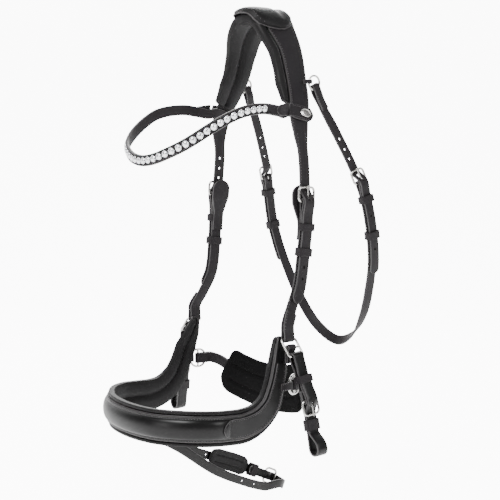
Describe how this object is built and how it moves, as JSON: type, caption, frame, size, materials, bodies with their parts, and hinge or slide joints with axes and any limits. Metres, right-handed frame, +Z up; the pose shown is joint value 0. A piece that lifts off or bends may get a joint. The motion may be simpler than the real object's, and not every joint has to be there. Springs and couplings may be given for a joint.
{
  "type": "snaffle bridle",
  "caption": "Hanging horse bridle with padded headpiece, throat lash, crystal browband, buckled cheekpieces, padded noseband with flash strap and looped bit straps.",
  "frame": {"origin": "middle of the padded headpiece's underside, where it rests on the poll", "axes": "+Z up along the hanging bridle, -Y toward the horse's nose, +X toward the horse's left"},
  "size_m": [0.3038, 0.3377, 0.6124],
  "materials": {
    "leather": "smooth black leather with lighter cut edges",
    "lining": "soft matt black padded lining",
    "hardware": "polished nickel-coloured metal",
    "crystals": "clear faceted stones in pale settings"
  },
  "bodies": {
    "headpiece": {"headpiece_leather": "leather", "crown_cap": "leather", "headpiece_liner": "lining", "ring_tab_left": "leather", "ring_tab_right": "leather"},
    "browband": {"browband": "leather", "crystal_strip": "crystals"},
    "noseband": {"noseband_leather": "leather", "noseband_liner": "lining", "flash_loop": "leather", "noseband_tab_left": "leather", "noseband_tab_right": "leather", "chin_tab_left": "leather", "chin_tab_right": "leather"},
    "chin": {"chin_strap": "leather", "chin_pad": "lining", "chin_buckle": "hardware", "chin_ring_left": "hardware", "chin_ring_right": "hardware"},
    "throat_lash": {"throat_strap": "leather", "throat_ring_left": "hardware", "throat_ring_right": "hardware", "throat_billet_left": "leather", "throat_billet_right": "leather", "throat_buckle_left": "hardware", "throat_buckle_right": "hardware", "throat_keeper_left": "leather", "throat_keeper_right": "leather"},
    "flash": {"flash_strap": "leather", "flash_pad": "lining", "flash_buckle": "hardware"},
    "browband_end_left": {"browband_end_left": "leather", "badge_left": "hardware"},
    "cheek_left": {"cheek_billet_left": "leather", "cheek_buckle_left": "hardware", "buckle_guard_left": "leather", "cheek_keeper_left": "leather", "cheek_strap_left": "leather", "cheek_link_left": "hardware"},
    "cheek_tongue_left": {"cheek_tongue_left": "hardware"},
    "bit_hanger_left": {"bit_strap_left": "leather", "bit_buckle_left": "hardware", "bit_keeper_left": "leather"},
    "bit_tongue_left": {"bit_tongue_left": "hardware"},
    "throat_tongue_left": {"throat_tongue_left": "hardware"},
    "browband_end_right": {"browband_end_right": "leather", "badge_right": "hardware"},
    "cheek_right": {"cheek_billet_right": "leather", "cheek_buckle_right": "hardware", "buckle_guard_right": "leather", "cheek_keeper_right": "leather", "cheek_strap_right": "leather", "cheek_link_right": "hardware"},
    "cheek_tongue_right": {"cheek_tongue_right": "hardware"},
    "bit_hanger_right": {"bit_strap_right": "leather", "bit_buckle_right": "hardware", "bit_keeper_right": "leather"},
    "bit_tongue_right": {"bit_tongue_right": "hardware"},
    "throat_tongue_right": {"throat_tongue_right": "hardware"}
  },
  "joints": [
    {"name": "browband_tilt", "type": "hinge", "parent": "headpiece", "child": "browband", "pos_m": [0, -0.0086, -0.107], "axis": [1, 0, 0], "range_deg": [-4, 6]},
    {"name": "browband_end_left_open", "type": "hinge", "parent": "browband", "child": "browband_end_left", "pos_m": [0.07799, -0.02658, -0.10139], "axis": [0.2773, -0.2247, -0.9341], "range_deg": [0, 80]},
    {"name": "browband_end_right_open", "type": "hinge", "parent": "browband", "child": "browband_end_right", "pos_m": [-0.07799, -0.02658, -0.10139], "axis": [0.2773, 0.2247, 0.9341], "range_deg": [0, 80]},
    {"name": "cheek_left_swing", "type": "hinge", "parent": "headpiece", "child": "cheek_left", "pos_m": [0.0803, -0.0116, -0.1276], "axis": [0, 1, 0], "range_deg": [-4.5, 4.5]},
    {"name": "cheek_right_swing", "type": "hinge", "parent": "headpiece", "child": "cheek_right", "pos_m": [-0.0803, -0.0116, -0.1276], "axis": [0, 1, 0], "range_deg": [-4.5, 4.5]},
    {"name": "noseband_swing", "type": "hinge", "parent": "cheek_left", "child": "noseband", "pos_m": [0.1035, -0.0425, -0.37975], "axis": [0, 1, 0], "range_deg": [-3.5, 3.5]},
    {"name": "bit_strap_left_swing", "type": "hinge", "parent": "cheek_left", "child": "bit_hanger_left", "pos_m": [0.1115, -0.0423, -0.389], "axis": [0, -1, 0], "range_deg": [0, 20]},
    {"name": "bit_strap_right_swing", "type": "hinge", "parent": "cheek_right", "child": "bit_hanger_right", "pos_m": [-0.1115, -0.0423, -0.389], "axis": [0, 1, 0], "range_deg": [0, 20]},
    {"name": "chin_strap_tilt", "type": "hinge", "parent": "noseband", "child": "chin", "pos_m": [0, -0.0352, -0.4255], "axis": [1, 0, 0], "range_deg": [-10, 10]},
    {"name": "throat_lash_swing", "type": "hinge", "parent": "headpiece", "child": "throat_lash", "pos_m": [0, 0.021, -0.069], "axis": [1, 0, 0], "range_deg": [-14, 40]},
    {"name": "flash_swing", "type": "hinge", "parent": "noseband", "child": "flash", "pos_m": [0, -0.1895, -0.477], "axis": [1, 0, 0], "range_deg": [-12, 12]},
    {"name": "cheek_tongue_left_lift", "type": "hinge", "parent": "cheek_left", "child": "cheek_tongue_left", "pos_m": [0.09046, -0.01053, -0.21007], "axis": [0.001, 0.9992, -0.0409], "range_deg": [0, 10]},
    {"name": "throat_tongue_left_lift", "type": "hinge", "parent": "throat_lash", "child": "throat_tongue_left", "pos_m": [0.09216, 0.07635, -0.19013], "axis": [-0.0062, 0.9384, 0.3456], "range_deg": [0, 10]},
    {"name": "bit_tongue_left_lift", "type": "hinge", "parent": "bit_hanger_left", "child": "bit_tongue_left", "pos_m": [0.12973, -0.03825, -0.43819], "axis": [0.0156, -0.9982, -0.0582], "range_deg": [0, 10]},
    {"name": "cheek_tongue_right_lift", "type": "hinge", "parent": "cheek_right", "child": "cheek_tongue_right", "pos_m": [-0.09046, -0.01053, -0.21007], "axis": [0.001, -0.9992, 0.0409], "range_deg": [0, 10]},
    {"name": "throat_tongue_right_lift", "type": "hinge", "parent": "throat_lash", "child": "throat_tongue_right", "pos_m": [-0.09216, 0.07635, -0.19013], "axis": [-0.0062, -0.9384, -0.3456], "range_deg": [0, 10]},
    {"name": "bit_tongue_right_lift", "type": "hinge", "parent": "bit_hanger_right", "child": "bit_tongue_right", "pos_m": [-0.12973, -0.03825, -0.43819], "axis": [0.0156, 0.9982, 0.0582], "range_deg": [0, 10]}
  ],
  "couplings": [
    {"joint": "cheek_right_swing", "follows": "cheek_left_swing", "ratio": 1},
    {"joint": "noseband_swing", "follows": "cheek_left_swing", "ratio": -0.7758}
  ]
}
